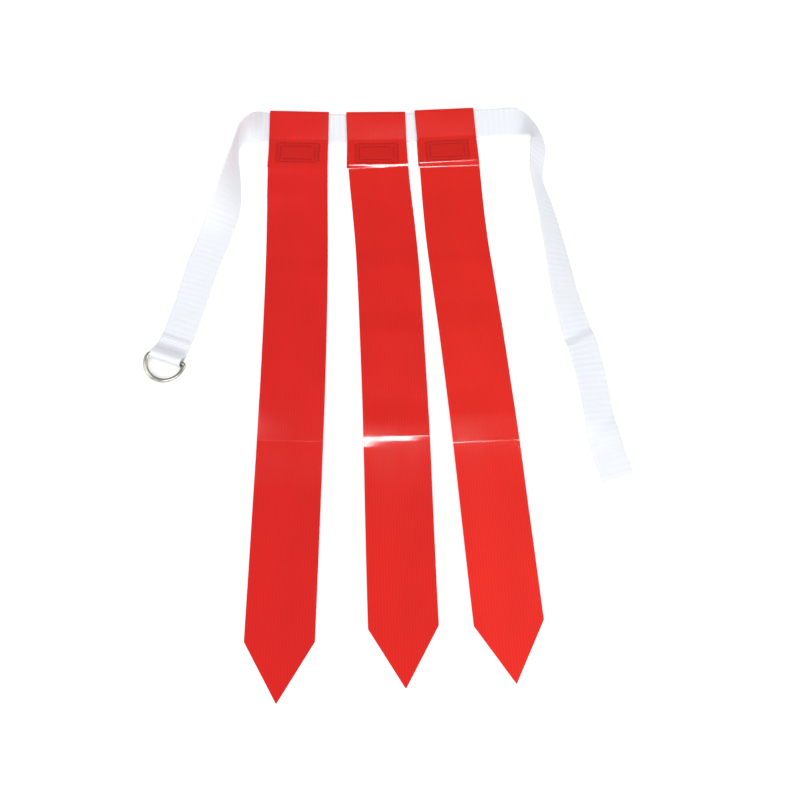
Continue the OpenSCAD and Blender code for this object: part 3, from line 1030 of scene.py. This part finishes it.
def hook_tape(k, material):
    """The pad under flag k, with its rows of hooks."""
    batch = Batch()
    batch.add(from_sleeve(k, tape_rows(HOOK_TAPE_Z - TAPE_T, HOOK_TAPE_Z)))
    columns = int((PAD_W - 3) / HOOK_PITCH)
    rows = int((PAD_LEN - 2) / HOOK_PITCH)
    for i in range(columns):
        for j in range(rows):
            x = (i - (columns - 1) / 2) * HOOK_PITCH
            y = (PAD_NEAR + PAD_FAR) / 2 + (j - (rows - 1) / 2) * HOOK_PITCH
            add_hook(batch, k, x, y, 1 if i % 2 else -1)
    name = f"flag_{k + 1}"
    piece = batch.mesh(name + "_hook_tape", material, 60)
    finish_piece(piece, name, "hook_tape", name + "_hook_pad")


def loop_tape(k, material, chance):
    """The pad on flag k's tab, with its tangle of loops."""
    batch = Batch()
    batch.add(from_sleeve(k, tape_rows(LOOP_TAPE_Z, LOOP_TAPE_Z + TAPE_T)))
    t = np.linspace(0, math.pi, 8)
    for _ in range(LOOPS_ON_A_PAD):
        x = chance.uniform(-PAD_W / 2 + 1.4, PAD_W / 2 - 1.4)
        y = chance.uniform(PAD_FAR + 1, PAD_NEAR - 1)
        turn = chance.uniform(0, math.pi)
        width, tall = chance.uniform(0.35, 0.7), chance.uniform(0.5, 0.72)
        lean = chance.uniform(-0.3, 0.3, 2)
        root = LOOP_TAPE_Z + TAPE_T - 0.04
        line = np.stack([
            x + width * np.cos(t) * math.cos(turn) + lean[0] * np.sin(t),
            y + width * np.cos(t) * math.sin(turn) + lean[1] * np.sin(t),
            root + tall * np.sin(t),
        ], axis=1)
        up = (math.sin(turn), -math.cos(turn), 0.01)
        batch.add(from_sleeve(k, tube_rows(line, [PILE_R] * len(t), 4, up)))
    name = f"flag_{k + 1}"
    piece = batch.mesh(name + "_loop_tape", material, 60)
    finish_piece(piece, f"tab_{k + 1}", "loop_tape", name + "_loop_pad")


def stitch_places():
    """Both ends of every stitch round a pad, in the sleeve frame's plan."""
    middle_y = (PAD_NEAR + PAD_FAR) / 2
    for half_w, half_l in stitch_boxes():
        for length, fixed, flip in ((2 * half_w - 2, half_l, False), (2 * half_l, half_w, True)):
            count = int(length / STITCH_PITCH)
            for i in range(count):
                at = (i - (count - 1) / 2) * STITCH_PITCH
                for s in (-1, 1):
                    ends = [(at - STITCH_LEN / 2, s * fixed), (at + STITCH_LEN / 2, s * fixed)]
                    yield [(b, middle_y + a) if flip else (a, middle_y + b) for a, b in ends]


def hook_threads(k, material):
    """Stitches on top of flag k, which follow the vinyl's surface."""
    batch = Batch()
    height = strip_height(k)
    for ends in stitch_places():
        points = [(x, y, float(height(np.array(x), np.array(y))) + VINYL_T / 2 + 0.02) for x, y in ends]
        start, end = from_sleeve(k, points)
        add_stitch(batch, start, end, (0, 0, 1))
    name = f"flag_{k + 1}"
    piece = batch.mesh(name + "_hook_thread", material, 60)
    finish_piece(piece, name, "red_thread", name + "_hook_stitching")


def loop_threads(k, material):
    """Stitches under flag k's tab, sunk a little into the vinyl."""
    batch = Batch()
    for ends in stitch_places():
        start, end = from_sleeve(k, [(x, y, LOOP_THREAD_Z) for x, y in ends])
        add_stitch(batch, start, end, (0, 0, -1))
    name = f"flag_{k + 1}"
    piece = batch.mesh(name + "_loop_thread", material, 60)
    finish_piece(piece, f"tab_{k + 1}", "red_thread", name + "_loop_stitching")


# ---- stage ----

# The floor is in metres
FLOOR_SIZE = 40.0
FLOOR_Z = -0.0002
STRIP_LIGHT_AT = (25, 207, 1500)
FAINT_LIGHT_AT = (-330, 207, 1500)
CAMERA_AT = (0, -513.7, 719.5)
CAMERA_TILT = math.radians(20.34)
CAMERA_LENS = 45


def floor():
    """A plain white table, which glows a little so that it stays white."""
    mesh = bpy.data.meshes.new("floor")
    half = FLOOR_SIZE / 2
    corners = [(-half, -half, 0), (half, -half, 0), (half, half, 0), (-half, half, 0)]
    mesh.from_pydata(corners, [], [(0, 1, 2, 3)])
    obj = bpy.data.objects.new("floor", mesh)
    bpy.context.scene.collection.objects.link(obj)
    n = Nodes("floor")
    n.set(Base_Color=(0.86, 0.86, 0.87, 1), Roughness=0.95, Specular_IOR_Level=0.05)
    n.set(Emission_Color=(1, 1, 1, 1), Emission_Strength=0.3)
    mesh.materials.append(n.material)
    obj.location.z = FLOOR_Z


def area_light(name, at, aim, size, power):
    """A rectangular light at one point of the layout's frame, turned towards another."""
    light = bpy.data.lights.new(name, "AREA")
    light.shape = "RECTANGLE"
    light.size, light.size_y = size
    light.energy = power
    obj = bpy.data.objects.new(name, light)
    bpy.context.scene.collection.objects.link(obj)
    place, target = put([at, aim])
    obj.location = tuple(place)
    obj.rotation_mode = "QUATERNION"
    obj.rotation_quaternion = (Vector(target) - Vector(place)).to_track_quat("-Z", "Y")


def world(behind, in_front):
    """Soft light from all round, stronger from the front than from behind."""
    made = bpy.data.worlds.new("studio")
    made.use_nodes = True
    tree = made.node_tree
    background = tree.nodes["Background"]
    background.inputs["Color"].default_value = (0.97, 0.985, 1.0, 1)
    place = tree.nodes.new("ShaderNodeTexCoord")
    split = tree.nodes.new("ShaderNodeSeparateXYZ")
    fade = tree.nodes.new("ShaderNodeMapRange")
    fade.inputs["From Min"].default_value = 0.8
    fade.inputs["From Max"].default_value = -0.8
    fade.inputs["To Min"].default_value = behind
    fade.inputs["To Max"].default_value = in_front
    tree.links.new(place.outputs["Generated"], split.inputs[0])
    tree.links.new(split.outputs["Y"], fade.inputs["Value"])
    tree.links.new(fade.outputs["Result"], background.inputs["Strength"])
    bpy.context.scene.world = made


def camera():
    """The view from in front, looking steeply down, with the whole belt in it."""
    data = bpy.data.cameras.new("camera")
    data.lens = CAMERA_LENS
    data.sensor_width = 36
    obj = bpy.data.objects.new("camera", data)
    obj.location = tuple(put([CAMERA_AT])[0])
    obj.rotation_euler = (CAMERA_TILT, 0, 0)
    bpy.context.scene.collection.objects.link(obj)
    bpy.context.scene.camera = obj


def studio():
    """Soft white light all round, two narrow strip lights overhead, and soft front and side lights."""
    floor()
    world(0.28, 0.58)
    # Each light: place and aim in millimetres, size in metres, power in watts
    area_light("strip", STRIP_LIGHT_AT, (25, -40, 0), (0.35, 0.06), 2.6)
    area_light("faint_strip", FAINT_LIGHT_AT, (-330, -40, 0), (0.4, 0.1), 0.16)
    area_light("front", (0, -1500, 1300), (0, -200, 0), (1.6, 0.8), 19)
    area_light("left", (-1500, -300, 1200), (0, -200, 0), (0.9, 0.9), 9)
    area_light("right", (1500, -300, 1200), (0, -200, 0), (0.9, 0.9), 10)
    bpy.context.scene.view_settings.view_transform = "Standard"
    camera()


# ---- build ----

def build():
    """Every piece of the belt and its flags."""
    red_thread = thread_material("red_thread", (0.22, 0.004, 0.004), (0.36, 0.007, 0.007))
    white_thread = thread_material("white_thread", (0.80, 0.81, 0.83), (0.90, 0.91, 0.93))
    hooks = tape_material("hook_tape", (0.34, 0.010, 0.010), (0.46, 0.02, 0.018), 2.2)
    loops = tape_material("loop_tape", (0.36, 0.012, 0.012), (0.52, 0.03, 0.028), 2.8)
    steel = steel_material()
    chance = np.random.default_rng(7)

    belt_ribbon(webbing_material())
    ring_loop_threads(white_thread)
    ring_piece("ring_upper_wire", steel, UPPER_BAR_Z, RING_PLAY, "ring_upper", "d_ring_upper")
    ring_piece("ring_lower_wire", steel, LOWER_BAR_Z, -RING_PLAY, "ring_lower", "d_ring_lower")
    for k in range(len(FLAGS)):
        vinyl = vinyl_material(k)
        strip_piece(k, vinyl)
        tab_piece(k, vinyl)
        hook_tape(k, hooks)
        loop_tape(k, loops, chance)
        hook_threads(k, red_thread)
        loop_threads(k, red_thread)


build()
studio()
